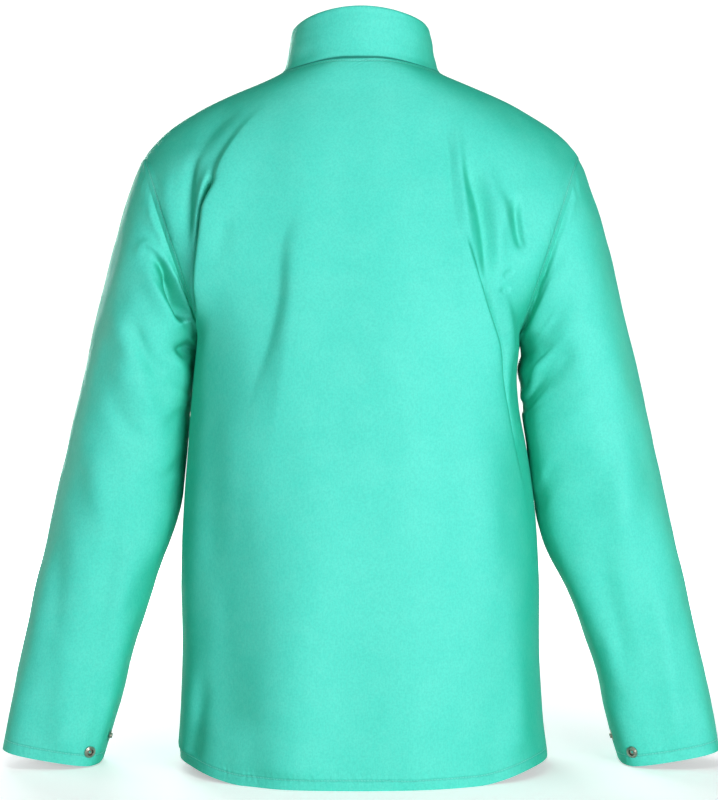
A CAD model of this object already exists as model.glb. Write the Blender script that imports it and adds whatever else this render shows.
"""A long-sleeved garment with a stand collar, closed down the front with snaps.

It hangs upright with the hem at z = 0. The front faces -y, and the parts called left are at +x.
Cloth is worked out in millimetres, with y = 0 in the middle of the body.
"""
import math

import bmesh
import bpy
import numpy as np
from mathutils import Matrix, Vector


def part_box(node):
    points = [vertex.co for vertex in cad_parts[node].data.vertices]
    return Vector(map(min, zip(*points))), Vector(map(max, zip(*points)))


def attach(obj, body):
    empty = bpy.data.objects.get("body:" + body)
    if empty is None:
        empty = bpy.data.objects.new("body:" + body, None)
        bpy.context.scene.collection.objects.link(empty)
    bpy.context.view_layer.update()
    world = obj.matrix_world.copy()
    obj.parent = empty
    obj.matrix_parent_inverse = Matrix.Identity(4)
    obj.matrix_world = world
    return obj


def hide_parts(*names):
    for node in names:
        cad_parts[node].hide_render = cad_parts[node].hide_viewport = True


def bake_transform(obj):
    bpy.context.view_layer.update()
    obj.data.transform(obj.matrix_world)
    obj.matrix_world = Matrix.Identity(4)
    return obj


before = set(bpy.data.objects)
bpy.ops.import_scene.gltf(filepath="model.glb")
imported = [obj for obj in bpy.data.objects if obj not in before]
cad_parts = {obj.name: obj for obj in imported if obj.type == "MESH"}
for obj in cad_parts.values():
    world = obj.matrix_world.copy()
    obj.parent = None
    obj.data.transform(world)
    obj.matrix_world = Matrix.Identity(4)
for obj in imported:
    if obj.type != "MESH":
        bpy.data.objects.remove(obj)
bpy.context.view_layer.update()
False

# ------------------------------------------------------------------ shared dimensions (mm)
# Body tables are (station, value); stations: 0 hem, 1 armpit, 2 top of armhole, 3 neck seam
HALF_WIDTH = [
    (0, 200), (0.54, 191), (0.72, 184), (0.87, 176), (1, 170), (2, 236), (2.113, 230),
    (2.34, 209), (2.433, 195), (2.515, 180), (2.608, 163), (2.7, 147), (2.78, 130),
    (2.876, 112), (2.95, 97), (3, 88)]
BACK_DEPTH = [
    (0, 150), (0.54, 148), (0.87, 144), (1, 141), (1.5, 134), (1.8, 122), (2, 108),
    (2.34, 98), (2.6, 90), (2.8, 82), (3, 72)]
FRONT_DEPTH = [
    (0, 152), (0.54, 150), (0.87, 148), (1, 146), (1.5, 138), (1.8, 127), (2, 118),
    (2.34, 110), (2.6, 103), (2.8, 97), (3, 90)]
OUTLINE_POWER = [(0, 2.3), (1, 2.3), (2, 2.1), (3, 2.0)]     # superellipse exponent
# Sleeve rings 0 (armhole) to 14 (cuff): outer x, outer z, inner x, inner z, half depth in y,
# y shift, tilt in degrees, superellipse exponent
SLEEVE = np.array([
    [236, 654, 170, 462, 75, 0, 0, 2], [251, 620, 175, 452, 78, 0, 0, 2],
    [263, 580, 178, 438, 79, 0, 0, 2], [273, 540, 181, 420, 79, 0, 0, 2],
    [284, 491, 184, 396, 77, 0, 0, 2], [294, 448, 188, 366, 74, 0, 0, 2],
    [305, 400, 193, 334, 71, 0, 0, 2], [316, 350, 199, 298, 68, 0, 0, 2],
    [327, 303, 206, 258, 65, 0, 0, 2], [338, 255, 216, 219, 62, -1, 1, 2.1],
    [349, 208, 227, 180, 58, -2, 2, 2.3], [359, 160, 240, 139, 54, -3, 2, 2.5],
    [369, 113, 252, 97, 51, -4, 2, 2.7], [379, 68, 266, 52, 48, -4, 1, 2.9],
    [386, 24, 280, 6, 46, -4, 0, 3]], float)
LAST_RING = len(SLEEVE) - 1
ARMPIT_Z = 462.0
ARMHOLE_TOP_Z = ARMPIT_Z + 192
ARMHOLE_HALF = 75.0       # half the armhole's depth in y
NECK_Z = 751.0
NECK_HALF = 88.0          # half the collar's width at the neck seam
NECK_DROP = 50.0          # how much lower the neck seam is in front
OVERLAP = 18.0            # how far each front runs past the centre line
FACING = 48.0             # width of the turned-in ply
FRONT_STEP = 4.6          # how far the left front stands off where it lies over the right one
BODY_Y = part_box("back_panel")[1].y * 1000 - BACK_DEPTH[0][1]     # the body's y = 0 in the frame
FORWARD, BACKWARD = (0, -1, 0), (0, 1, 0)
FAR = 99.0                # a stitch distance that draws no stitches
# (steps, weight) of the window that rounds off tables
WINDOW = ((-2, 0.15), (-1, 0.2), (0, 0.3), (1, 0.2), (2, 0.15))


def look_up(table, where):
    keys, values = np.array(table, float).T
    return np.interp(where, keys, values)


def by_height(z, table, step=7.2):
    """a (height, amount) table with its corners rounded"""
    return sum(weight * look_up(table, z + k * step) for k, weight in WINDOW)


def smooth(x):
    x = np.clip(x, 0, 1)
    return x * x * (3 - 2 * x)


def signed_power(x, power):
    return np.sign(x) * np.abs(x) ** power


# ------------------------------------------------------------------ repeatable noise
def cell_value(ix, iy, iz, seed):
    """a fixed value from -1 to 1 for each lattice point"""
    h = (ix * 374761393 + iy * 668265263 + iz * 2147483647 + seed * 1274126177) & 0xFFFFFFFF
    h = ((h ^ (h >> 13)) * 1274126177) & 0xFFFFFFFF
    return ((h ^ (h >> 16)) & 0xFFFFFF) / float(0xFFFFFF) * 2 - 1


def noise(points, seed):
    cell = np.floor(points).astype(np.int64)
    f = points - cell
    upper = f * f * f * (f * (f * 6 - 15) + 10)
    weights = (1 - upper, upper)
    total = 0
    for dx, dy, dz in np.ndindex(2, 2, 2):
        weight = weights[dx][..., 0] * weights[dy][..., 1] * weights[dz][..., 2]
        total = total + weight * cell_value(
            cell[..., 0] + dx, cell[..., 1] + dy, cell[..., 2] + dz, seed)
    return total


def flat_noise(first, second, seed):
    return noise(np.stack([first, second, 0 * first], -1), seed)


# ------------------------------------------------------------------ folds
# A fold is drawn as a line down the cloth: (height in mm, negative when sunk; width on its +x
# side; width on its -x side; share of the line that tapers in; share that tapers out;
# [(x, z), ...] in mm)
BACK_FOLDS = [
    # a roll down from the left shoulder, with a slit beside the armhole
    (9.5, 5, 30, 0.26, 0.45, [
        (91, 704), (114, 685), (132, 661), (144, 639), (150, 616), (154, 594), (158, 563),
        (161, 536), (165, 497), (171, 468), (175, 436), (177, 393), (176, 340), (177, 267)]),
    (-22, 4.2, 3.4, 0.14, 0.2, [
        (150, 629), (154, 616), (159, 594), (163, 562), (167, 534), (170, 498), (176, 468)]),
    (5, 5, 4, 0.3, 0.35, [(156, 643), (165, 611), (170, 584), (172, 559), (172, 540)]),
    (-5, 8, 5, 0.4, 0.3, [(160, 665), (174, 642), (179, 611), (179, 585), (177, 559)]),
    (2.5, 10, 8, 0.4, 0.4, [(199, 657), (204, 613), (199, 576), (190, 537)]),
    (-4, 14, 9, 0.4, 0.4, [(121, 701), (146, 687), (164, 665), (174, 646)]),
    (-2.5, 7, 9, 0.4, 0.5, [(133, 594), (139, 573), (142, 547), (144, 525)]),
    # a long roll down the right side, over a second layer that runs to the armhole
    (-1.7, 3, 3, 0.3, 0.5, [(-87, 686), (-91, 646), (-93, 608), (-97, 579), (-103, 551)]),
    (4, 6, 5, 0.3, 0.4, [
        (-100, 689), (-101, 657), (-105, 619), (-108, 583), (-113, 552), (-121, 511)]),
    (-9, 6, 11, 0.35, 0.3, [
        (-104, 656), (-111, 628), (-121, 594), (-127, 557), (-130, 521), (-133, 491)]),
    (4, 8, 8, 0.4, 0.4, [(-123, 654), (-135, 615), (-140, 573), (-142, 535), (-143, 505)]),
    (7, 26, 3, 0.2, 0.45, [
        (-99, 593), (-103, 571), (-111, 538), (-122, 494), (-137, 449), (-145, 412),
        (-157, 362), (-170, 309), (-180, 251)]),
    (-9, 3, 6, 0.3, 0.35, [
        (-107, 565), (-115, 534), (-127, 494), (-142, 449), (-151, 412), (-163, 362),
        (-176, 309)]),
    (4.2, 7, 5, 0.45, 0.45, [(-143, 614), (-148, 589), (-152, 562)]),
    (-7, 6, 3.6, 0.4, 0.2, [(-160, 610), (-161, 585), (-164, 563), (-170, 546)]),
    (4, 8, 4, 0.3, 0.4, [(-146, 509), (-156, 476), (-161, 432), (-162, 399), (-167, 362)]),
    (-1.6, 3, 3, 0.3, 0.3, [(-146, 519), (-153, 525), (-160, 526)]),
    (-1.6, 3, 3, 0.3, 0.3, [(-144, 504), (-149, 508), (-155, 506)]),
    # soft folds further down
    (-4.5, 26, 9, 0.35, 0.5, [
        (62, 608), (72, 582), (82, 554), (86, 499), (97, 451), (114, 398), (124, 342)]),
    (3.5, 12, 34, 0.35, 0.5, [
        (48, 618), (58, 582), (66, 546), (70, 495), (76, 434), (86, 363), (94, 272)]),
    (-2.4, 34, 34, 0.4, 0.5, [(16, 650), (26, 576), (39, 495), (43, 393), (39, 292)]),
    (3, 40, 40, 0.4, 0.5, [(-40, 650), (-45, 546), (-52, 434), (-60, 312), (-64, 191)]),
    (-3.2, 22, 26, 0.4, 0.3, [(-76, 495), (-86, 414), (-97, 322), (-107, 221), (-115, 108)]),
    (-8, 30, 34, 0.4, 0.1, [(139, 362), (137, 270), (138, 168), (145, 44)]),
    (6, 44, 46, 0.5, 0.05, [(56, 353), (58, 232), (64, 111), (70, 5)]),
    (-2.8, 30, 30, 0.5, 0.05, [(16, 232), (16, 142), (19, 6)]),
    (2.6, 26, 26, 0.5, 0.05, [(-49, 192), (-53, 101), (-53, 0)]),
    (3.6, 18, 18, 0.5, 0.1, [(-156, 269), (-165, 185), (-169, 92), (-165, 16)]),
    (5, 12, 14, 0.5, 0.05, [(182, 141), (187, 77), (199, 8)]),
    (-3.6, 8, 9, 0.5, 0.05, [(167, 123), (172, 71), (179, 12)]),
]
LEFT_SLEEVE_FOLDS = [
    (4, 4, 5, 0.3, 0.25, [
        (231, 536), (232, 549), (224, 556), (214, 551), (204, 536), (192, 514), (183, 496)]),
    (-12, 5, 4.5, 0.3, 0.12, [(222, 546), (210, 535), (200, 516), (193, 497), (185, 481)]),
    (6, 10, 5, 0.35, 0.25, [(229, 538), (218, 517), (205, 493), (193, 473), (185, 459)]),
    (-13, 6, 6, 0.4, 0.1, [(206, 530), (199, 512), (192, 494), (187, 476)]),
    (-9, 6, 6, 0.25, 0.4, [(176, 453), (185, 447), (194, 439)]),
    (5, 9, 8, 0.35, 0.35, [(205, 446), (193, 431), (185, 415), (186, 391)]),
    (-5.5, 10, 8, 0.35, 0.3, [(242, 480), (233, 458), (224, 438), (213, 425), (201, 417)]),
    (3.5, 13, 12, 0.4, 0.4, [(258, 503), (251, 469), (238, 439), (221, 416)]),
    (3, 12, 12, 0.4, 0.4, [(203, 614), (211, 587), (221, 563)]),
    (3.4, 13, 12, 0.4, 0.4, [(264, 446), (244, 414), (226, 391), (205, 368)]),
    (-3.4, 12, 11, 0.4, 0.4, [(270, 402), (251, 372), (230, 349), (213, 332)]),
    (4.4, 16, 16, 0.4, 0.5, [(294, 372), (279, 320), (271, 267), (269, 214)]),
    (-4.4, 12, 13, 0.4, 0.4, [(256, 288), (263, 224), (274, 160), (284, 96)]),
    (-3.4, 14, 14, 0.4, 0.4, [(319, 287), (322, 223), (328, 160), (337, 96)]),
    (4.4, 14, 15, 0.5, 0.1, [(304, 160), (313, 96), (320, 19)]),
    (-2.2, 8, 8, 0.5, 0.1, [(269, 117), (278, 67), (286, 19)]),
]
RIGHT_SLEEVE_FOLDS = [
    (-3, 3, 4, 0.3, 0.3, [(-178, 559), (-187, 567), (-200, 562)]),
    (-12, 4, 7, 0.3, 0.12, [(-193, 554), (-186, 534), (-177, 509), (-168, 487), (-163, 468)]),
    (6, 6, 13, 0.35, 0.25, [(-209, 552), (-201, 519), (-191, 490), (-183, 468), (-174, 449)]),
    (-10, 6, 6, 0.4, 0.1, [(-186, 520), (-179, 500), (-172, 480), (-168, 466)]),
    (-6, 5, 5, 0.25, 0.4, [(-160, 444), (-171, 443), (-181, 435)]),
    (4.5, 8, 9, 0.35, 0.35, [(-197, 446), (-184, 428), (-175, 411), (-175, 389)]),
    (2, 12, 12, 0.45, 0.4, [(-240, 508), (-227, 481), (-211, 454), (-195, 436)]),
    (-4.4, 10, 9, 0.35, 0.35, [(-225, 458), (-211, 433), (-198, 412), (-184, 393)]),
    (2.2, 13, 12, 0.4, 0.4, [(-255, 423), (-238, 395), (-218, 372), (-198, 351)]),
    (4.2, 16, 16, 0.4, 0.5, [(-275, 362), (-277, 309), (-279, 256), (-288, 203)]),
    (-4.4, 12, 13, 0.4, 0.4, [(-248, 267), (-259, 203), (-275, 139), (-290, 74)]),
    (3.8, 13, 14, 0.4, 0.1, [(-308, 224), (-319, 160), (-330, 85), (-340, 21)]),
]
FRONT_FOLDS = [
    (9.0, 14, 26, 0.35, 0.4, [(196, 600), (182, 540), (176, 480), (178, 420)]),
    (-6.0, 9, 11, 0.35, 0.4, [(176, 610), (160, 560), (152, 500), (150, 430)]),
    (5.1, 22, 26, 0.4, 0.5, [(120, 690), (134, 620), (138, 540), (130, 440)]),
    (-5.1, 26, 26, 0.5, 0.1, [(100, 420), (108, 300), (104, 160), (110, 10)]),
    (6.0, 22, 24, 0.5, 0.05, [(160, 330), (156, 200), (160, 90), (166, 4)]),
    (9.0, 26, 14, 0.35, 0.4, [(-196, 600), (-184, 540), (-178, 480), (-180, 420)]),
    (-6.0, 11, 9, 0.35, 0.4, [(-172, 612), (-158, 560), (-150, 500), (-152, 430)]),
    (4.5, 24, 22, 0.4, 0.5, [(-112, 690), (-126, 620), (-132, 540), (-120, 440)]),
    (-4.5, 26, 26, 0.5, 0.1, [(-96, 430), (-104, 300), (-98, 160), (-106, 10)]),
    (6.0, 24, 22, 0.5, 0.05, [(-150, 330), (-160, 200), (-156, 90), (-162, 4)]),
    (3.0, 18, 18, 0.4, 0.5, [(-64, 640), (-70, 560), (-66, 470), (-72, 380)]),
    (3.0, 18, 18, 0.4, 0.5, [(62, 640), (70, 560), (64, 470), (70, 380)]),
]
# Where the cloth rolls sideways over the slit next to it: (shift along +x, width on the roll,
# width in the slit, [(x, z), ...])
BACK_ROLLS = [
    (9.0, 13, 3.8, [
        (146, 631), (150, 616), (154, 594), (158, 563), (161, 536), (165, 497), (171, 468)]),
    (-5.5, 12, 4.5, [
        (-103, 571), (-111, 538), (-122, 494), (-137, 449), (-145, 412), (-157, 362),
        (-170, 309)]),
]


def line_distance(plane, line):
    """signed distance to a polyline, and the share along it"""
    steps = np.diff(line, axis=0)
    lengths = np.hypot(steps[:, 0], steps[:, 1])
    start = np.concatenate([[0], np.cumsum(lengths)])
    best = np.full(plane.shape[:-1], 1e9)
    sign = np.zeros_like(best)
    share = np.zeros_like(best)
    for point, step, length, before in zip(line, steps, lengths, start):
        rel = plane - point
        t = np.clip((rel[..., 0] * step[0] + rel[..., 1] * step[1]) / length ** 2, 0, 1)
        gap = rel - t[..., None] * step
        distance = np.hypot(gap[..., 0], gap[..., 1])
        cross = step[0] * rel[..., 1] - step[1] * rel[..., 0]
        closer = distance < best
        best = np.where(closer, distance, best)
        sign = np.where(closer, np.where(cross >= 0, 1.0, -1.0), sign)
        share = np.where(closer, (before + t * length) / start[-1], share)
    return best * sign, share


def spline(points, pieces=6):
    """Catmull-Rom curve through the points"""
    p = np.array(points, float)
    p = np.vstack([2 * p[0] - p[1], p, 2 * p[-1] - p[-2]])
    curve = []
    for a, b, c, d in zip(p, p[1:], p[2:], p[3:]):
        for t in np.arange(pieces) / pieces:
            curve.append(0.5 * (2 * b + (c - a) * t + (2 * a - 5 * b + 4 * c - d) * t * t
                                + (-a + 3 * b - 3 * c + d) * t ** 3))
    curve.append(p[-2])
    return np.array(curve)


def stroke(plane, points, plus_width, minus_width, taper_in, taper_out):
    """a line of height 1; drawn downwards, its +x side has positive distances"""
    distance, share = line_distance(plane, spline(points))
    width = np.where(distance < 0, minus_width, plus_width)
    taper = smooth(share / taper_in) * smooth((1 - share) / taper_out)
    return taper * np.exp(-(distance / width) ** 2)


def fold_sum(plane, folds):
    return sum(height * stroke(plane, line, *shape) for height, *shape, line in folds)


def roll_sum(plane, rolls):
    total = 0
    for shift, roll_width, slit_width, line in rolls:
        widths = (slit_width, roll_width) if shift > 0 else (roll_width, slit_width)
        total = total + shift * stroke(plane, line, *widths, taper_in=0.25, taper_out=0.3)
    return total


# ------------------------------------------------------------------ grids of points
def grid_normals(grid, closed=False):
    down_rows = np.gradient(grid, axis=0)
    if closed:
        wrapped = np.concatenate([grid[:, -2:], grid, grid[:, :2]], axis=1)
        across = np.gradient(wrapped, axis=1)[:, 2:-2]
    else:
        across = np.gradient(grid, axis=1)
    n = np.cross(across, down_rows)
    return n / np.maximum(np.linalg.norm(n, axis=-1, keepdims=True), 1e-9)


def outward_normals(grid, outward, closed=False):
    """normals turned towards outward (one vector or one per point), and whether they flipped"""
    normals = grid_normals(grid, closed)
    flipped = (normals * outward).sum(-1).mean() < 0
    return (-normals if flipped else normals), flipped


def blur_rows(grid, sigma):
    """gaussian from row to row; the first and last rows stay"""
    half = int(3 * sigma)
    weights = np.exp(-(np.arange(-half, half + 1) / sigma) ** 2 / 2)
    weights /= weights.sum()
    before = 2 * grid[:1] - grid[1:half + 1][::-1]
    after = 2 * grid[-1:] - grid[-half - 1:-1][::-1]
    padded = np.concatenate([before, grid, after], 0)
    blurred = sum(weight * padded[i:i + len(grid)] for i, weight in enumerate(weights))
    blurred[0] = grid[0]
    blurred[-1] = grid[-1]
    return blurred


def arc(grid, axis):
    """length travelled along the rows' direction (axis 0) or the columns' (axis 1)"""
    steps = np.linalg.norm(np.diff(grid, axis=axis), axis=-1)
    zero = np.zeros_like(np.take(steps, [0], axis=axis))
    return np.concatenate([zero, np.cumsum(steps, axis=axis)], axis=axis)


def field(x, y, z):
    """a vector per grid point"""
    return np.stack(np.broadcast_arrays(x, y, z), -1)


def nearest(*distances):
    """the distance closest to 0, with its sign"""
    options = np.stack(distances)
    return np.take_along_axis(options, np.abs(options).argmin(0)[None], 0)[0]


MATERIALS = {}


def add_object(name, data):
    ob = bpy.data.objects.new(name, data)
    bpy.context.scene.collection.objects.link(ob)
    return ob


def cloth_object(name, grid, normals, flipped, thickness, fields, material="shell",
                 closed=False, rows=slice(None)):
    """a sheet whose outer face is the grid (mm), thickened inwards; rows picks part of it"""
    fields = {"cuv": field(arc(grid, 1), arc(grid, 0), 0.0), **fields}
    thickness = np.broadcast_to(thickness, grid.shape[:2])[rows]
    outer = grid[rows]
    normals = normals[rows]
    inner = outer - normals * thickness[..., None]
    verts = np.concatenate([outer.reshape(-1, 3), inner.reshape(-1, 3)]) / 1000.0
    verts[:, 1] += BODY_Y / 1000.0

    count = len(verts) // 2
    index = np.arange(count).reshape(outer.shape[:2])
    here = index if closed else index[:, :-1]
    after = np.roll(index, -1, axis=1) if closed else index[:, 1:]
    corners = here[:-1], after[:-1], after[1:], here[1:]
    quads = np.stack([c.ravel() for c in corners], 1)
    borders = [(after[0], here[0]), (here[-1], after[-1])]
    if not closed:
        borders += [(index[:-1, 0], index[1:, 0]), (index[1:, -1], index[:-1, -1])]
    rims = [np.stack([a, b, b + count, a + count], 1) for a, b in borders]
    faces = np.concatenate([quads, quads[:, ::-1] + count] + rims)
    if flipped:
        faces = faces[:, ::-1]

    mesh = bpy.data.meshes.new(name)
    mesh.vertices.add(len(verts))
    mesh.vertices.foreach_set("co", verts.astype(np.float32).ravel())
    mesh.loops.add(faces.size)
    mesh.loops.foreach_set("vertex_index", faces.astype(np.int32).ravel())
    mesh.polygons.add(len(faces))
    mesh.polygons.foreach_set("loop_start", np.arange(0, faces.size, 4, dtype=np.int32))
    mesh.polygons.foreach_set("loop_total", np.full(len(faces), 4, np.int32))
    mesh.update(calc_edges=True)
    mesh.polygons.foreach_set("use_smooth", np.ones(len(faces), bool))

    # both faces shade with the whole grid's normals, the rims with their own
    loop_normals = np.zeros((faces.size, 3))
    point_normals = np.concatenate([normals.reshape(-1, 3), -normals.reshape(-1, 3)])
    sheet = len(quads) * 2
    loop_normals[:sheet * 4] = point_normals[faces[:sheet].ravel()]
    rim = verts[faces[sheet:]]
    rim_normals = np.cross(rim[:, 1] - rim[:, 0], rim[:, 3] - rim[:, 0])
    rim_normals /= np.maximum(np.linalg.norm(rim_normals, axis=1, keepdims=True), 1e-12)
    loop_normals[sheet * 4:] = np.repeat(rim_normals, 4, axis=0)
    mesh.normals_split_custom_set(loop_normals.astype(np.float32).tolist())

    ob = add_object(name, mesh)
    for key, values in fields.items():
        values = values[rows].reshape(-1, 3)
        both = np.concatenate([values, values]).astype(np.float32)
        mesh.attributes.new(key, "FLOAT_VECTOR", "POINT").data.foreach_set("vector", both.ravel())
    inside = mesh.attributes.new("inside", "FLOAT", "POINT")
    inside.data.foreach_set("value", np.repeat([0.0, 1.0], count).astype(np.float32))
    mesh.materials.append(MATERIALS[material])
    return ob


# ------------------------------------------------------------------ shader building
class Signal:
    """a node's output; arithmetic on it adds Math nodes"""

    def __init__(self, tree, socket):
        self.tree = tree
        self.socket = socket

    def math(self, operation, *sources):
        return add_node(self.tree, "Math", dict(enumerate(sources)), operation=operation)

    def __add__(self, other):
        return self.math("ADD", self, other)

    def __radd__(self, other):
        return self.math("ADD", other, self)

    def __sub__(self, other):
        return self.math("SUBTRACT", self, other)

    def __rsub__(self, other):
        return self.math("SUBTRACT", other, self)

    def __mul__(self, other):
        return self.math("MULTIPLY", self, other)

    def __truediv__(self, other):
        return self.math("DIVIDE", self, other)

    def ramp(self, low, high):
        """smooth rise from 0 at low to 1 at high"""
        return add_node(self.tree, "MapRange", {0: self, 1: low, 2: high},
                        interpolation_type="SMOOTHSTEP")


def feed(tree, socket, source):
    if isinstance(source, Signal):
        tree.links.new(source.socket, socket)
    else:
        socket.default_value = (*source, 1.0) if socket.type == "RGBA" else source


def add_node(tree, kind, inputs, output=0, **settings):
    node = tree.nodes.new("ShaderNode" + kind)
    for key, value in settings.items():
        setattr(node, key, value)
    for key, source in inputs.items():
        feed(tree, node.inputs[key], source)
    return Signal(tree, node.outputs[output])


def mix(tree, share, first, second):
    return add_node(tree, "Mix", {0: share, 6: first, 7: second}, 2, data_type="RGBA")


def noise_texture(tree, vector, **settings):
    inputs = {key.capitalize(): value for key, value in settings.items()}
    return add_node(tree, "TexNoise", {"Vector": vector, **inputs}, "Fac")


def object_coordinates(tree):
    return add_node(tree, "TexCoord", {}, "Object")


def attribute_xyz(tree, name):
    vector = add_node(tree, "Attribute", {}, "Vector", attribute_name=name)
    separate = add_node(tree, "SeparateXYZ", {0: vector})
    return [Signal(tree, socket) for socket in separate.socket.node.outputs]


def new_material(name):
    material = bpy.data.materials.new(name)
    material.use_nodes = True
    MATERIALS[name] = material
    return material.node_tree


def stitches(tree, name):
    """thread, groove and pucker of the stitch line in an attribute: (distance, along, on) in mm"""
    offset, along, on = attribute_xyz(tree, name)
    distance = offset.math("ABSOLUTE", offset)
    stitch = along / 3.1     # stitch length
    phase = stitch.math("FRACT", stitch)
    dash = phase.ramp(0.06, 0.16) * (1.0 - phase.ramp(0.84, 0.94))
    thread = (1.0 - distance.ramp(0.28, 0.52)) * dash * on
    groove = (1.0 - distance.ramp(0.3, 2.4)) * on
    place = add_node(tree, "CombineXYZ", {0: along * 0.17, 1: offset * 0.05})
    gather = noise_texture(tree, place, scale=1.0, detail=1.0)
    pucker = (gather - 0.5) * ((1.0 - distance.ramp(2.0, 11.0)) * on)
    return thread, groove, pucker


def cloth_material(name, flat, steep, inner, roughness=0.52, sheen=0.0):
    """woven cloth: flat seen square on, steep at a grazing angle, inner on the inner face"""
    tree = new_material(name)
    tree.nodes.clear()
    across, up, _ = attribute_xyz(tree, "cuv")
    place = object_coordinates(tree)
    inside = add_node(tree, "Attribute", {}, "Fac", attribute_name="inside")

    # sateen weave, repeating every 0.62 mm across and 0.50 mm up
    slanted = (across + up * 0.35) * (2 * math.pi / 0.62)
    warp = slanted.math("SINE", slanted)
    level = up * (2 * math.pi / 0.50)
    weft = level.math("SINE", level)
    weave = warp * 0.6 + warp * weft * 0.4
    stretched = add_node(tree, "CombineXYZ", {0: across * 1.0, 1: up * 0.16})
    slub = noise_texture(tree, stretched, scale=0.9, detail=3.0)
    grain = noise_texture(tree, place, scale=520.0, detail=3.0)
    mottle = noise_texture(tree, place, scale=26.0, detail=4.0, roughness=0.6)
    tall = add_node(tree, "Mapping", {0: place, "Scale": (1.0, 1.0, 0.42)})
    crease = noise_texture(tree, tall, scale=14.0, detail=3.0, roughness=0.5, distortion=0.6)
    thread_a, groove_a, pucker_a = stitches(tree, "seam_a")
    thread_b, groove_b, pucker_b = stitches(tree, "seam_b")
    thread = thread_a.math("MAXIMUM", thread_a, thread_b)
    groove = groove_a.math("MAXIMUM", groove_a, groove_b)
    pucker = pucker_a + pucker_b

    # colour, from the widest variation to the stitches
    slope = add_node(tree, "LayerWeight", {"Blend": 0.5}, "Facing")
    colour = mix(tree, slope.ramp(0.06, 0.66) * 0.72, flat, steep)
    colour = mix(tree, inside, colour, inner)
    darker = mix(tree, 0.035, colour, (0.0, 0.25, 0.2))
    lighter = mix(tree, 0.02, colour, (0.75, 1.0, 0.95))
    colour = mix(tree, mottle.ramp(0.35, 0.7), darker, lighter)
    colour = mix(tree, slub.ramp(0.35, 0.7) * 0.05, colour, (0.5, 1.0, 0.92))
    colour = mix(tree, grain.ramp(0.35, 0.68) * 0.17, colour, (0.02, 0.40, 0.30))
    colour = mix(tree, groove * 0.14, colour, (0.005, 0.30, 0.20))
    colour = mix(tree, thread * 0.55, colour, (0.26, 0.86, 0.76))
    shade = attribute_xyz(tree, "shade")[0]
    colour = mix(tree, shade * 0.85, colour, (0.0, 0.14, 0.10))

    # relief in mm
    height = (weave * 0.030 + slub * 0.10 + crease * 1.0 + groove * -0.45 + thread * 0.38
              + pucker * 1.3)
    surface = add_node(tree, "BsdfPrincipled", {
        "Base Color": colour,
        "Roughness": (roughness - 0.05) + mottle * 0.12,
        "Sheen Weight": sheen,
        "Sheen Roughness": 0.45,
        "Sheen Tint": (0.6, 1.0, 0.94),
        "Specular IOR Level": 0.30,
        "IOR": 1.36,
        "Normal": add_node(tree, "Bump", {"Strength": 1.0, "Distance": 0.001, "Height": height}),
    })
    output = tree.nodes.new("ShaderNodeOutputMaterial")
    feed(tree, output.inputs[0], surface)


def metal_material(name, colour, stain, roughness):
    tree = new_material(name)
    inputs = tree.nodes["Principled BSDF"].inputs
    place = object_coordinates(tree)
    wear = noise_texture(tree, place, scale=420.0, detail=4.0)
    pits = noise_texture(tree, place, scale=1600.0, detail=2.0)
    bump = add_node(tree, "Bump", {"Strength": 0.25, "Distance": 0.0002, "Height": pits})
    feed(tree, inputs["Base Color"], mix(tree, wear.ramp(0.5, 0.72), colour, stain))
    feed(tree, inputs["Metallic"], 1.0)
    feed(tree, inputs["Roughness"], roughness + wear * 0.15)
    feed(tree, inputs["Normal"], bump)


cloth_material("shell", flat=(0.090, 0.740, 0.600), steep=(0.000, 0.470, 0.285),
               inner=(0.045, 0.500, 0.375))
cloth_material("inner", flat=(0.070, 0.590, 0.480), steep=(0.030, 0.470, 0.360),
               inner=(0.060, 0.490, 0.395), roughness=0.72, sheen=0.15)
cloth_material("label", flat=(0.80, 0.80, 0.78), steep=(0.74, 0.74, 0.72),
               inner=(0.74, 0.74, 0.72), roughness=0.6, sheen=0.1)
metal_material("snap", colour=(0.50, 0.47, 0.39), stain=(0.22, 0.20, 0.16), roughness=0.22)
metal_material("snap_dark", colour=(0.10, 0.09, 0.07), stain=(0.04, 0.036, 0.03),
               roughness=0.35)

# ------------------------------------------------------------------ body panels
ROW_STEP = 4.2
BACK_COLUMNS = 230
FRONT_COLUMNS = 96
# (height, mm) that the sides hang in below the armpits; a negative amount stands out
RIGHT_DRAW = [
    (0, 0), (20, 1.5), (51, 3.5), (113, 5.0), (154, 3.3), (195, 1.2), (278, 1.2), (340, 4.5),
    (381, 8.0), (420, 7.0), (450, 0)]
LEFT_DRAW = [
    (0, 3.0), (31, 3.6), (72, 3.2), (113, 2.4), (154, 1.2), (195, -1.2), (257, -1.7),
    (298, -2.6), (350, -2.6), (381, -1.6), (427, -1.4), (452, 0)]
# (station, distance from the centre line) where the left front comes down off the right one
STEP_REACH = [
    (0, 122), (0.54, 110.3), (1, 100.3), (1.7, 94), (2, 91), (2.2, 84), (2.6, 68), (3, 46)]


def station_rows():
    """a column of stations, evenly spaced in height and closer at the ends of the armhole"""
    armhole = ARMHOLE_TOP_Z - ARMPIT_Z
    low = np.linspace(0, 1, int(ARMPIT_Z / ROW_STEP))
    turn = np.linspace(0, math.pi, int(armhole / ROW_STEP * 1.5))
    high = np.linspace(2, 3, int((NECK_Z - ARMHOLE_TOP_Z + 30) / ROW_STEP * 1.2))
    return np.concatenate([low, 1.5 - 0.5 * np.cos(turn)[1:], high[1:]])[:, None]


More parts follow.
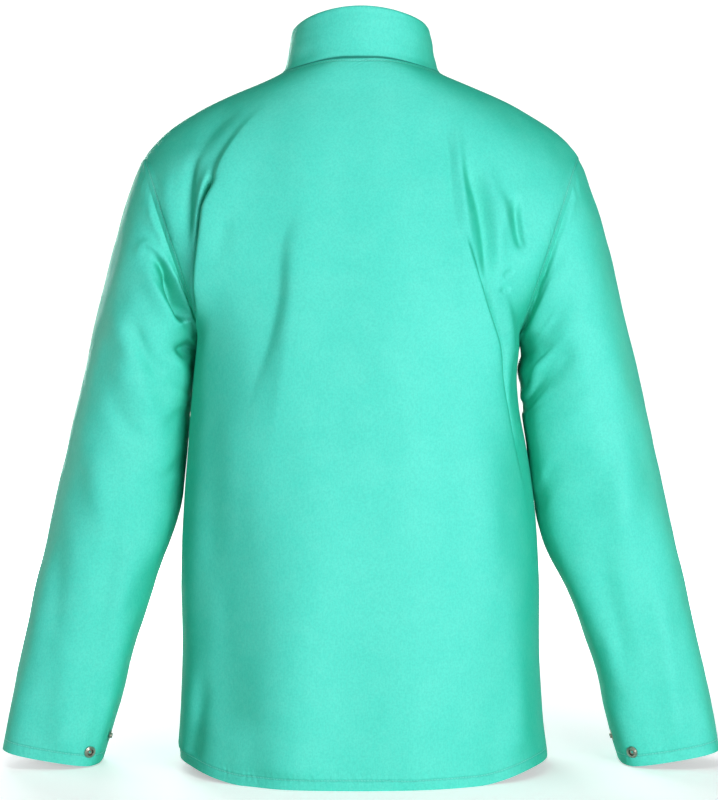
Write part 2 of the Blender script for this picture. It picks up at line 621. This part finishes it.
def body_outline(half_depths):
    """stations with half width, half depth, exponent and the angle where the panel starts"""
    station = station_rows()
    depth = look_up(half_depths, station)
    power = look_up(OUTLINE_POWER, station)
    bulge = np.sqrt(np.clip(1 - ((station - 1.5) / 0.5) ** 2, 0, 1))
    opening = ARMHOLE_HALF * bulge / depth
    width = look_up(HALF_WIDTH, station) / (1 - opening ** power) ** (1 / power)
    return station, width, depth, power, np.arcsin(opening ** (power / 2))


def body_points(station, width, depth, power, angle):
    x = width * signed_power(np.cos(angle), 2 / power)
    y = depth * signed_power(np.sin(angle), 2 / power)
    z = np.interp(station, [0, 1, 2, 3], [0, ARMPIT_Z, ARMHOLE_TOP_Z, NECK_Z])
    return x, y, np.broadcast_to(z, x.shape)


def back_grid():
    """columns are closer where the folds beside the armholes are"""
    t = np.linspace(0, 1, 4001)
    inward = np.minimum(t, 1 - t)
    density = 1 + 2.2 * smooth((inward - 0.01) / 0.03) * (1 - smooth((inward - 0.36) / 0.06))
    filled = np.concatenate([[0], np.cumsum((density[1:] + density[:-1]) / 2)])
    share = np.interp(np.linspace(0, filled[-1], BACK_COLUMNS), filled, t)
    station, width, depth, power, start = body_outline(BACK_DEPTH)
    angle = start + (math.pi - 2 * start) * share
    return np.stack(body_points(station, width, depth, power, angle), -1), station


def front_grid(side):
    """from the side edge to OVERLAP past the centre line"""
    station, width, depth, power, start = body_outline(FRONT_DEPTH)
    end = np.arccos(-(OVERLAP / width) ** (power / 2))
    angle = start + (end - start) * np.linspace(0, 1, FRONT_COLUMNS)
    x, y, z = body_points(station, width, depth, power, angle)
    z = z - NECK_DROP * np.minimum(1, y / depth) ** 1.6 * np.maximum(station - 2, 0)
    return np.stack([side * x, -y, z], -1), station


def soften(grid, station):
    """rounds off the tables' corners from row to row, while hem and neck stay"""
    share = smooth(station / 0.06) * smooth((3 - station) / 0.08)
    # the armhole edge stays on its seam, so blur less near it
    column = np.arange(grid.shape[1])
    column = np.minimum(column, column[::-1])
    armhole = smooth((station - 0.9) / 0.1) * smooth((2.12 - station) / 0.1)
    share = (share * (1 - armhole * (1 - smooth(column / 10.0))))[..., None]
    softened = grid * (1 - share) + blur_rows(grid, 4.0) * share
    # armpit and armhole top are eased more, but not at the panel's edges or on the front band
    wide = blur_rows(blur_rows(grid, 11.0), 9.0)
    across = arc(grid, 1)
    off_edge = smooth((np.minimum(across, across[:, -1:] - across) - 10) / 55)
    off_band = np.where(grid[..., 1] < 0, smooth((np.abs(grid[..., 0]) - 24) / 45), 1.0)
    high = smooth((station - 0.45) / 0.3) * smooth((2.93 - station) / 0.35)
    share = (off_edge * off_band * high)[..., None]
    return softened * (1 - share) + wide * share


def edge_fade(grid, station, both_sides):
    """0 at sewn edges so that neighbouring pieces still meet, 1 inside"""
    across = arc(grid, 1)
    edge = np.minimum(across, across[:, -1:] - across) if both_sides else across
    return smooth(edge / 16.0) * smooth((3 - station) / 0.10)


def drape(grid, seed):
    """gentle unevenness: long vertical swells that grow to the hem, and smaller ones"""
    swell = 2.6 + 2.6 * smooth((420 - grid[..., 2]) / 420)
    small = noise(grid / (27.0, 27.0, 85.0), seed + 1) * 0.55
    return noise(grid / (62.0, 62.0, 330.0), seed) * swell + small


def hem_lift(grid):
    """the hem is cut a little higher at the side seams"""
    side = smooth((np.abs(grid[..., 0]) - 120) / 80)
    return 12.5 * side * smooth((60 - grid[..., 2]) / 60)


def side_draw(grid):
    """shift along x at the sides"""
    x, z = grid[..., 0], grid[..., 2]
    shift = np.where(x < 0, by_height(z, RIGHT_DRAW), -by_height(z, LEFT_DRAW))
    return shift * smooth((np.abs(x) - 100) / 70)


def neck_shape(grid):
    """the neck seam hangs at the sides and rises a little in the middle of the back"""
    x, y, z = np.moveaxis(grid, -1, 0)
    near_neck = smooth((z - 706) / 42) * smooth((806 - z) / 48)
    aside = smooth((np.abs(x) - 16) / 72)
    hang = -5.5 * aside * smooth((y + 62) / 40)
    return near_neck * (hang + 2.5 * (1 - aside) * smooth(y / 30))


def hang(grid, roll=0.0):
    """the shifts that back and fronts share, and the roll of the back"""
    grid[..., 0] += side_draw(grid)
    grid[..., 0] += roll
    grid[..., 2] += hem_lift(grid) + neck_shape(grid)
    grid[..., 2] = np.maximum(grid[..., 2], 0.0)


def hem_neck_seam(grid, on=1.0):
    """stitch lines along hem and neck"""
    up = arc(grid, 0)
    return field(nearest((up[-1:] - up) - 5.0, up - 10.5), arc(grid, 1), on)


def body_thickness(grid):
    """thicker where the hem is turned up"""
    return 1.0 + 1.3 * (1 - smooth((arc(grid, 0) - 10.5) / 3.0))


def build_back():
    grid, station = back_grid()
    grid = soften(grid, station)
    normals, _ = outward_normals(grid, BACKWARD)
    fade = edge_fade(grid, station, both_sides=True)
    plane = grid[..., [0, 2]]
    relief = np.clip((fold_sum(plane, BACK_FOLDS) + drape(grid, 3)) * fade, -24, 12.0)
    # folds stand off the back rather than off the sides
    direction = normals + (0, 1.6, 0)
    direction /= np.linalg.norm(direction, axis=-1, keepdims=True)
    grid = grid + direction * relief[..., None]
    hang(grid, roll_sum(plane, BACK_ROLLS) * fade)

    # the side stitch line moves further in above the armhole
    across, up = arc(grid, 1), arc(grid, 0)
    inset = 6.5 + 8.5 * smooth((station - 1.96) / 0.05)
    side_lines = nearest((across[:, -1:] - across) - inset, across - inset)
    seams = {"seam_a": hem_neck_seam(grid), "seam_b": field(side_lines, up, 1.0)}
    ob = cloth_object("back", grid, *outward_normals(grid, BACKWARD), body_thickness(grid), seams)
    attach(ob, "torso")
    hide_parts("back_panel")


def side_name(side):
    return "left" if side > 0 else "right"


def blend_front(ob, side):
    direction = Vector((0.9965, 0.0, 0.0835))
    direction.x *= side
    side_name(side) + "_front"
    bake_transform(ob)


def front_step(x, station):
    """how far the left front stands off; x is measured from the centre line to +x"""
    reach = np.minimum(80, look_up(STEP_REACH, station) - 3)
    return FRONT_STEP * smooth((reach - x) / np.maximum(reach - 30, 1))


def build_front(side):
    name = side_name(side)
    grid, station = front_grid(side)
    grid = soften(grid, station)
    normals, _ = outward_normals(grid, FORWARD)
    x = grid[..., 0] * side
    fade = edge_fade(grid, station, both_sides=False) * (0.12 + 0.88 * smooth((x - 20) / 50))
    swells = drape(grid, 11 if side > 0 else 17)
    relief = np.clip((fold_sum(grid[..., [0, 2]], FRONT_FOLDS) + swells) * fade, -9, 8)
    if side > 0:
        relief = relief + front_step(x, station)
    grid = grid + normals * relief[..., None]
    hang(grid)

    # stitch lines at the side, at the front edge and along the facing's inner edge
    normals, flipped = outward_normals(grid, FORWARD)
    across, up = arc(grid, 1), arc(grid, 0)
    from_edge = across[:, -1:] - across
    lines = nearest(across - 6.5, from_edge - 5.5, from_edge - (FACING - 3.0))
    seams = {"seam_a": hem_neck_seam(grid), "seam_b": field(lines, up, 1.0)}
    ob = cloth_object(name + "_front", grid, normals, flipped, body_thickness(grid), seams)
    blend_front(ob, side)
    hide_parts(name + "_front_side", name + "_front_flap")

    # facing: the turned-in ply on the inside of the front edge
    first = np.argmax(x[100] < FACING - OVERLAP)
    ply = (grid - normals * 1.35)[:, first:]
    across, up = arc(ply, 1), arc(ply, 0)
    seams = {"seam_a": hem_neck_seam(ply, on=0.0),
             "seam_b": field((across[:, -1:] - across) - 6.5, up, 1.0)}
    ob = cloth_object(name + "_facing", ply, *outward_normals(ply, FORWARD), 0.9, seams,
                      material="inner")
    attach(ob, name + "_front")
    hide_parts(name + "_front_facing")


# ------------------------------------------------------------------ sleeves
SLEEVE_ROWS = 210
SLEEVE_COLUMNS = 150
SLEEVE_CUTS = (2.4, 5.9)      # rings between head and upper part, and upper and lower part
# (height, mm) that the inner line moves towards the body; a negative amount moves away
LEFT_EASE = [
    (0, 0), (75, 0), (113, -2.6), (195, -2.6), (216, 0), (237, 3.2), (257, 5.0), (278, 6.0),
    (298, 5.2), (319, 4.4), (340, 3.4), (360, 2.4), (381, 0.8), (410, 0)]
RIGHT_EASE = [
    (0, 0), (62, 0), (82, -4.5), (113, -5.0), (154, -1.5), (185, 1.5), (200, 4.0), (216, 8.0),
    (237, 12.0), (257, 13.0), (298, 13.0), (340, 11.0), (381, 10.5), (401, 9.5), (430, 5.0),
    (460, 0)]
# name, CAD part, body it bends towards, direction (x, z) of the blend down the sleeve
SLEEVE_PARTS = (
    ("sleeve_head", "sleeve_cap", "sleeve_head", (0.945, -0.325)),
    ("sleeve_upper", "upper_sleeve", "upper_arm", (0.702, -0.712)),
    ("sleeve_lower", "lower_sleeve", "forearm", (0.4061, -0.9138)))
ELBOW_X, ELBOW_Z = 257.5, 324.0      # middle of the lower part's blend


def sleeve_table(ring):
    """the sleeve table, smoothed so that no ring shows as a crease"""
    ring = np.clip(ring, 0, LAST_RING - 1e-6)
    reach = np.minimum(1, np.minimum(ring, LAST_RING - ring) / 0.8)
    rings = np.arange(len(SLEEVE))
    total = 0
    for k, weight in WINDOW:
        at = np.clip(ring + k * 0.4 * reach, 0, LAST_RING)
        total = total + weight * np.stack([np.interp(at, rings, c) for c in SLEEVE.T], -1)
    return np.moveaxis(total, -1, 0)


def sleeve_surface(ring, angle):
    """angle 0 is the outer line, a quarter turn the back (+y), half a turn the inner line"""
    outer_x, outer_z, inner_x, inner_z, depth, shift, tilt, power = sleeve_table(ring)
    out = signed_power(np.cos(angle), 2 / power)
    back = signed_power(np.sin(angle), 2 / power) * depth
    tilt = np.radians(tilt)
    x = (outer_x + inner_x) / 2 + out * (outer_x - inner_x) / 2
    z = (outer_z + inner_z) / 2 + out * (outer_z - inner_z) / 2 - back * np.sin(tilt)
    return np.stack([x, shift + back * np.cos(tilt), z], -1)


def sleeve_relief(grid, ring, angle, side):
    """folds, unevenness and gathers, measured outwards"""
    back = smooth(np.sin(angle) * 1.6 + 0.25)
    own, other = LEFT_SLEEVE_FOLDS, RIGHT_SLEEVE_FOLDS
    if side < 0:
        own, other = other, own
    plane = grid[..., [0, 2]]
    folds = fold_sum(plane, own) * back
    # the front gets the other sleeve's folds, mirrored and 15 mm higher
    folds += 0.8 * fold_sum(plane * (-1, 1) - (0, 15), other) * (1 - back)
    uneven = noise(grid / (34.0, 34.0, 60.0), 31 + side) * 1.4
    uneven += noise(grid / (16.0, 16.0, 26.0), 37 + side) * 0.35
    # gathered cloth along the inner line
    inner = smooth(-np.cos(angle) * 1.5 - 0.1)
    along = ring * 47.0 / 26.0 + 1.5 * flat_noise(ring * 0.8, angle, 41 + side)
    gather = flat_noise(angle * 1.1, along, 43 + side) * inner
    gather *= smooth((ring - 1.0) / 1.5) * smooth((9.5 - ring) / 3.0) * 1.6
    fade = smooth(ring / 0.45) * (0.35 + 0.65 * smooth((LAST_RING - ring) / 0.6))
    return np.clip(folds + uneven + gather, -20, 9) * fade


def armhole_relief(ring, angle, side):
    """the set-in seam: a swell just after it, with puckers"""
    puff = 1.6 * np.exp(-((ring - 0.28) / 0.2) ** 2) * smooth(ring / 0.12)
    puff *= 1 - 0.85 * smooth(np.cos(angle) * 2 - 0.6)
    pucker = 0.7 * np.exp(-((ring - 0.2) / 0.25) ** 2) * smooth(ring / 0.08)
    return puff + pucker * flat_noise(angle * 14, ring * 2, 51 + side)


def build_sleeve(side):
    name = side_name(side)
    rings = np.linspace(0, LAST_RING, SLEEVE_ROWS)
    cut_rows = [int(np.abs(rings - cut).argmin()) for cut in SLEEVE_CUTS]
    rings[cut_rows] = SLEEVE_CUTS
    turns = np.linspace(0, 2 * math.pi, SLEEVE_COLUMNS, endpoint=False)
    ring, angle = np.meshgrid(rings, turns, indexing="ij")
    grid = sleeve_surface(ring, angle)
    grid[..., 0] *= side
    centre = grid.mean(axis=1, keepdims=True)
    normals, _ = outward_normals(grid, grid - centre, closed=True)

    grid = grid + normals * sleeve_relief(grid, ring, angle, side)[..., None]
    ease = by_height(grid[..., 2], LEFT_EASE if side > 0 else RIGHT_EASE)
    grid[..., 0] -= side * ease * smooth(-np.cos(angle - 0.22) * 1.5 - 0.1)
    grid = grid + normals * armhole_relief(ring, angle, side)[..., None]
    # the cuff is drawn out along the arm
    longer = 6.5 * smooth((ring - 13.3) / 0.7)
    grid[..., 0] += side * 0.32 * longer
    grid[..., 2] -= longer
    grid[..., 2] = np.maximum(grid[..., 2], 1.0)
    surface = outward_normals(grid, grid - centre, closed=True)

    # stitch lines round the cuff and beside the inner line
    up, around = arc(grid, 0), arc(grid, 1)
    from_cuff = up[-1:] - up
    cuff = from_cuff - 12.0
    cuff = np.where((np.abs(cuff) < np.abs(up - 4.0)) & (up >= 12), cuff, FAR)
    middle = SLEEVE_COLUMNS // 2
    inner_line = around - around[:, middle:middle + 1] - 5.0
    seams = {"seam_a": field(cuff, around, 1.0), "seam_b": field(inner_line, up, 1.0)}
    thickness = 1.0 + 1.2 * (1 - smooth((from_cuff - 11.0) / 2.0))

    bounds = [0, *cut_rows, SLEEVE_ROWS - 1]
    parts = [
        cloth_object(f"{name}_{part[0]}", grid, *surface, thickness, seams, closed=True,
                     rows=slice(first, last + 1))
        for part, first, last in zip(SLEEVE_PARTS, bounds, bounds[1:])]
    for i, (ob, (_, cad, body, (along_x, along_z))) in enumerate(zip(parts, SLEEVE_PARTS)):
        direction = Vector((along_x * side, 0, along_z))
        reach = grid[..., 0] * direction.x + grid[..., 2] * direction.z
        start, end = reach[bounds[i]].max(), reach[bounds[i + 1]].min()
        if body == "forearm":
            elbow = ELBOW_X * side * direction.x + ELBOW_Z * direction.z
            end = elbow + (elbow - start)
        direction * (start / 1000)
        direction * (end / 1000)
        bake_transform(ob)
        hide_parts(f"{name}_{cad}")


# ------------------------------------------------------------------ collar
COLLAR_ROWS = 52
COLLAR_BACK_COLUMNS = 120
COLLAR_WING_COLUMNS = 56
# inset from the outer face, thickness, cloth, how far the foot hangs, how far it stands proud
# there, and strength of the shade lines
COLLAR_OUTER = dict(inset=0.0, thickness=1.3, cloth="shell", sag=2.4, proud=1.3, line=1.0)
COLLAR_INNER = dict(inset=1.42, thickness=1.1, cloth="inner", sag=0.9, proud=0.0, line=0.0)


def collar_surface(height, angle):
    """height runs from 0 at the neck seam to 1; angle 0 is +x, a quarter turn the back"""
    s = np.sin(angle)
    pinch = 1 - (1 - height) ** 3
    width = NECK_HALF - 9.3 * (1 - (1 - height) ** 4) - 4.0 * height ** 4
    depth = np.where(s >= 0, 72 - 2 * pinch + 3 * height, 90 - 5 * pinch - 3 * height)
    stand = 44 + np.where(s >= 0, 12, 1) * s ** 2
    foot = NECK_Z - NECK_DROP * np.maximum(-s, 0) ** 1.6
    return np.stack([width * np.cos(angle), depth * s, foot + stand * height], -1)


def collar_piece(name, cad, side, start, end, columns, layer):
    """one piece of the collar; side is 0 for the back"""
    angle, height = np.meshgrid(np.linspace(start, end, columns),
                                np.linspace(0, 1, COLLAR_ROWS))
    grid = collar_surface(height, angle)
    normals, _ = outward_normals(grid, grid * (1, 1, 0))
    relief = noise(grid / 40, 71) * 1.2 * smooth(height / 0.3)
    relief += noise(grid / (15, 15, 24), 73) * 0.35
    relief -= 0.9 * smooth((height - 0.94) / 0.06) ** 2     # the top edge rolls in
    relief -= layer["inset"]
    if side > 0:
        relief += FRONT_STEP * smooth((43.0 - NECK_HALF * np.cos(angle)) / 13.0)
    grid = grid + normals * relief[..., None]
    wrinkle = noise(grid / (48, 48, 9), 75) * 0.55
    wrinkle *= smooth(height / 0.2) * smooth((1 - height) / 0.2)
    proud = layer["proud"] * (1 - smooth(height / 0.22))
    grid = grid + normals * (wrinkle + proud)[..., None]
    grid[..., 2] -= layer["sag"] * (1 - height)
    grid[..., 2] += neck_shape(grid)

    # the wings have stitch lines along the top and the front end
    up, across = arc(grid, 0), arc(grid, 1)
    below_top = (up[-1:] - up) - 6.0
    top = np.where(np.abs(below_top) < np.abs(up - 4.0), below_top, FAR) if side else FAR
    from_end = across[:, -1:] - across if side else FAR
    top_shade = 0.75 * smooth((up - up[-1:] + 1.3) / 0.9)
    shade = layer["line"] * np.maximum(1 - smooth((up - 2.6) / 1.1), top_shade)
    fields = {"seam_a": field(top, across, 1.0), "seam_b": field(from_end - 6.0, up, 1.0),
              "shade": field(shade, shade, shade)}
    ob = cloth_object(name, grid, *outward_normals(grid, grid * (1, 1, 0)),
                      layer["thickness"], fields, material=layer["cloth"])
    if side:
        blend_front(ob, side)
    else:
        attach(ob, "torso")
    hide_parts(cad)


def build_collar():
    past_centre = math.asin(OVERLAP / NECK_HALF)
    front = 1.5 * math.pi
    for back, back_cad, wing, layer in (
            ("collar_back_outer", "collar_back", "collar_wing", COLLAR_OUTER),
            ("collar_back_inner", "collar_back_lining", "collar_lining", COLLAR_INNER)):
        collar_piece(back, back_cad, 0, 0, math.pi, COLLAR_BACK_COLUMNS, layer)
        for side, start in ((1, 2 * math.pi), (-1, math.pi)):
            name = f"{side_name(side)}_{wing}"
            collar_piece(name, name, side, start, front - side * past_centre,
                         COLLAR_WING_COLUMNS, layer)


build_back()
build_front(1)
build_front(-1)
build_sleeve(1)
build_sleeve(-1)
build_collar()

# ------------------------------------------------------------------ snaps
SNAP_SEGMENTS = 40
SNAP_BEVEL = 0.12
# kind: (shift of the profile's zero along the axis from the CAD solid's inner end, or from its
# outer end for the cap; radii between which the metal is dark; [(radius, height), ...]), in mm
SOCKET_TOP = [(6.4, 0.35), (6.2, 0.95), (5.6, 1.15), (5.1, 1.18), (4.9, 1.55), (4.5, 1.75),
              (3.6, 1.75), (3.15, 1.6), (3.05, 1.2)]
SNAPS = {
    "cap": (-1.55, None, [
        (0, 1.50), (2.0, 1.46), (3.6, 1.30), (4.0, 1.12), (4.3, 1.28), (5.6, 1.06), (6.7, 0.72),
        (7.3, 0.36), (7.45, 0.05), (7.0, 0.0), (2.0, 0.0), (2.0, -2.2), (0, -2.2)]),
    "socket": (0.0, (0, 3.6), [(3.05, 0.0), (6.3, 0.0), *SOCKET_TOP, (3.05, 0.0)]),
    "ring": (0.0, (2.95, 3.5), [
        (1.25, -0.1), (1.25, 0.2), (2.0, 0.34), (2.7, 0.26), (3.05, 0.12), *SOCKET_TOP[::-1],
        (6.3, -0.1), (1.25, -0.1)]),
    "stud": (-0.2, (0, 1.6), [
        (1.3, 0.2), (6.1, 0.2), (6.2, 0.45), (5.9, 0.72), (4.4, 0.76), (3.3, 0.80),
        (2.75, 1.05), (2.62, 1.5), (2.9, 2.05), (2.82, 2.5), (2.4, 2.75), (1.5, 2.72),
        (1.3, 2.5), (1.3, 0.2)]),
    "eyelet": (0.88, (0, 1.4), [
        (1.2, 0.0), (1.2, -0.6), (1.6, -0.85), (3.0, -0.88), (4.4, -0.72), (5.4, -0.45),
        (5.6, -0.15), (5.5, 0.0), (2.0, 0.0), (2.0, 1.8), (1.2, 1.8), (1.2, 0.0)]),
}


def solids(cad):
    """centre, thinnest direction and vertices (m) of each separate solid of a CAD node"""
    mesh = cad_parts[cad].data
    points = np.array([v.co for v in mesh.vertices], float)
    ids = {}
    merged = [ids.setdefault(tuple(p), len(ids)) for p in np.round(points, 6)]
    parent = list(range(len(ids)))

    def find(i):
        while parent[i] != i:
            parent[i] = parent[parent[i]]
            i = parent[i]
        return i

    for edge in mesh.edges:
        a, b = (find(merged[i]) for i in edge.vertices)
        parent[a] = b
    groups = {}
    for i, point_id in enumerate(merged):
        groups.setdefault(find(point_id), []).append(i)
    found = []
    for members in groups.values():
        p = np.unique(np.round(points[members], 6), axis=0)
        spread = p - p.mean(0)
        directions = np.linalg.svd(spread, full_matrices=False)[2]
        axis = min(directions, key=lambda d: np.ptp(spread @ d))
        found.append(((p.min(0) + p.max(0)) / 2, axis, p))
    return sorted(found, key=lambda solid: (solid[0][2], solid[0][0]))


def lathe(profile, base, axis):
    """vertices and faces of a profile (mm) turned round the axis at base (m)"""
    z = Vector(axis).normalized()
    x = z.orthogonal().normalized()
    y = z.cross(x)
    verts, faces = [], []
    n = len(profile)
    for k in range(SNAP_SEGMENTS):
        turn = 2 * math.pi * k / SNAP_SEGMENTS
        spoke = x * math.cos(turn) + y * math.sin(turn)
        verts += [Vector(base) + spoke * (r / 1000) + z * (h / 1000) for r, h in profile]
        for j in range(n - 1):
            a = k * n + j
            b = ((k + 1) % SNAP_SEGMENTS) * n + j
            faces.append((a, b, b + 1, a + 1))
    return verts, faces


def bevelled(profile):
    """each inner corner of the profile cut into a small bevel"""
    points = [profile[0]]
    for before, corner, after in zip(profile, profile[1:], profile[2:]):
        p = Vector(corner)
        back, on = Vector(before) - p, Vector(after) - p
        cut = min(SNAP_BEVEL, back.length * 0.4, on.length * 0.4)
        a = p + back.normalized() * cut
        b = p + on.normalized() * cut
        middle = (a + b) / 2 * 0.5 + p * 0.5
        points += [tuple(a), tuple(middle), tuple(b)]
    points.append(profile[-1])
    return points


def snap_object(name, cad, kind, body, outward):
    """outward gives, for a solid's centre, a direction on the side its profile rises to"""
    shift, dark, profile = SNAPS[kind]
    profile = bevelled(profile)
    verts, faces, material_ids = [], [], []
    for centre, axis, points in solids(cad):
        axis = axis * (1 if axis @ np.array(outward(centre)) > 0 else -1)
        heights = (points - centre) @ axis
        end = heights.max() if kind == "cap" else heights.min()
        base = centre + axis * (end + shift / 1000)
        new_verts, new_faces = lathe(profile, base, axis)
        faces += [tuple(i + len(verts) for i in face) for face in new_faces]
        verts += new_verts
        for face in new_faces:
            radii = [(new_verts[i] - Vector(base)).cross(Vector(axis)).length for i in face]
            is_dark = dark and dark[0] <= np.mean(radii) * 1000 <= dark[1]
            material_ids.append(1 if is_dark else 0)
    mesh = bpy.data.meshes.new(name)
    mesh.from_pydata([tuple(v) for v in verts], [], faces)
    mesh.update()
    mesh.polygons.foreach_set("use_smooth", np.ones(len(faces), bool))
    mesh.materials.append(MATERIALS["snap"])
    mesh.materials.append(MATERIALS["snap_dark"])
    mesh.polygons.foreach_set("material_index", np.array(material_ids, np.int32))
    bm = bmesh.new()
    bm.from_mesh(mesh)
    bmesh.ops.remove_doubles(bm, verts=bm.verts, dist=1e-7)
    bmesh.ops.recalc_face_normals(bm, faces=bm.faces)
    bm.to_mesh(mesh)
    bm.free()
    mesh.set_sharp_from_angle(angle=math.radians(40))
    ob = add_object(name, mesh)
    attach(ob, body)
    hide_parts(cad)


def build_snaps():
    for place, ending in (("front", "s"), ("collar", "")):
        for kind, body, direction in (
                ("cap", "left_front", FORWARD), ("socket", "left_front", BACKWARD),
                ("stud", "right_front", FORWARD), ("eyelet", "right_front", FORWARD)):
            snap_object(f"{place}_{kind}{ending}", f"{place}_snap_{kind}{ending}", kind, body,
                        lambda centre: direction)
    for side in (1, -1):
        name = side_name(side)
        cuff_middle = np.array((0.333 * side, BODY_Y / 1000 - 0.004, 0.02))
        for part, kind in (("stud", "stud"), ("socket", "ring")):
            cad = f"{name}_cuff_{part}"
            for new, old, shape in ((cad + "_part", cad, kind),
                                    (cad + "_eyelet", cad + "_back", "eyelet")):
                snap_object(new, old, shape, name + "_forearm",
                            lambda centre: centre - cuff_middle)


build_snaps()


# ------------------------------------------------------------------ label
def build_label():
    """a slightly bowed patch inside the neck, stitched on all four sides"""
    low, high = (corner * 1000 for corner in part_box("neck_label"))
    x, share = np.meshgrid(np.linspace(low.x + 0.6, high.x - 0.6, 30), np.linspace(0, 1, 22))
    y = high.y - BODY_Y + (low.y - high.y) * share - 0.4
    y -= 1.4 * np.sin(share * math.pi) * np.cos(x / 24 * 1.2)
    grid = np.stack([x, y, low.z + (high.z - low.z) * share], -1)
    across, up = arc(grid, 1), arc(grid, 0)
    ends = np.minimum(up, up[-1:] - up) - 2.2
    sides = np.minimum(across, across[:, -1:] - across) - 2.2
    seams = {"seam_a": field(ends, across, 1.0), "seam_b": field(sides, up, 1.0)}
    ob = cloth_object("label", grid, *outward_normals(grid, FORWARD), 0.5, seams,
                      material="label")
    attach(ob, "torso")
    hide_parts("neck_label")


build_label()


# ------------------------------------------------------------------ stage, lights, camera (m)
def camera_ray(tree):
    return add_node(tree, "LightPath", {}, "Is Camera Ray")


def build_floor(radius=16, corners=24):
    """a plain disc that fades into the white surroundings"""
    turns = [2 * math.pi * k / corners for k in range(corners)]
    verts = [(0.0, 0.0, 0.0)]
    verts += [(radius * math.cos(t), radius * math.sin(t), 0.0) for t in turns]
    mesh = bpy.data.meshes.new("pale_floor")
    mesh.from_pydata(verts, [], [(0, 1 + k, 1 + (k + 1) % corners) for k in range(corners)])
    mesh.update()
    tree = new_material("pale_floor")
    inputs = tree.nodes["Principled BSDF"].inputs
    place = object_coordinates(tree)
    patches = noise_texture(tree, place, scale=3.0, detail=2.0)
    distance = add_node(tree, "VectorMath", {0: place}, "Value", operation="LENGTH")
    glow = camera_ray(tree) * (0.45 + distance.ramp(0.5, 1.5) * 0.85)
    pale = mix(tree, patches, (0.86, 0.865, 0.87), (0.89, 0.89, 0.89))
    feed(tree, inputs["Base Color"], pale)
    feed(tree, inputs["Roughness"], 0.9)
    feed(tree, inputs["Emission Color"], (1, 1, 1))
    feed(tree, inputs["Emission Strength"], glow)
    mesh.materials.append(MATERIALS["pale_floor"])
    add_object("pale_floor", mesh)


def area_light(name, at, aim_z, size, power, colour=(1, 1, 1)):
    """a rectangle aimed at a point on the z axis"""
    light = bpy.data.lights.new(name, "AREA")
    light.shape = "RECTANGLE"
    light.size, light.size_y = size
    light.energy = power
    light.color = colour
    ob = add_object(name, light)
    ob.location = at
    aim = Vector((0, 0, aim_z)) - Vector(at)
    ob.rotation_euler = aim.to_track_quat("-Z", "Y").to_euler()


def build_world():
    world = bpy.data.worlds.new("studio")
    bpy.context.scene.world = world
    world.use_nodes = True
    tree = world.node_tree
    inputs = tree.nodes["Background"].inputs
    feed(tree, inputs["Color"], (0.94, 1.0, 0.96))
    # dim as a light, white to the camera
    feed(tree, inputs["Strength"], 0.10 + camera_ray(tree) * 1.1)


def build_camera(distance=2.0, height=0.3933):
    """looks at the back of the garment, along -y"""
    camera = bpy.data.cameras.new("camera")
    camera.sensor_width = 36
    camera.lens = 82.7775
    camera.clip_end = 30
    camera.shift_x = -0.0025
    ob = add_object("camera", camera)
    ob.location = (0, distance + BODY_Y / 1000, height)
    ob.rotation_euler = (math.pi / 2, 0, math.pi)
    bpy.context.scene.camera = ob


build_floor()
area_light("key", at=(-1.3, 2.75, 0.45), aim_z=0.36, size=(1.2, 1.0), power=77,
           colour=(0.97, 0.97, 1.0))
area_light("top", at=(0.2, 0.5, 2.8), aim_z=0.5, size=(1.4, 0.9), power=12)
area_light("fill", at=(1.5, 2.6, 0.4), aim_z=0.35, size=(1.0, 1.0), power=9,
           colour=(0.86, 1.0, 0.92))
area_light("front", at=(0.9, -2.6, 0.9), aim_z=0.38, size=(1.3, 1.3), power=62,
           colour=(0.94, 0.98, 1.0))
area_light("side_left", at=(2.7, -1.3, 0.8), aim_z=0.4, size=(1.0, 1.2), power=24)
area_light("side_right", at=(-2.7, -1.3, 0.8), aim_z=0.4, size=(1.0, 1.2), power=14)
build_world()
build_camera()
view = bpy.context.scene.view_settings
view.view_transform = "Standard"
view.look = "None"
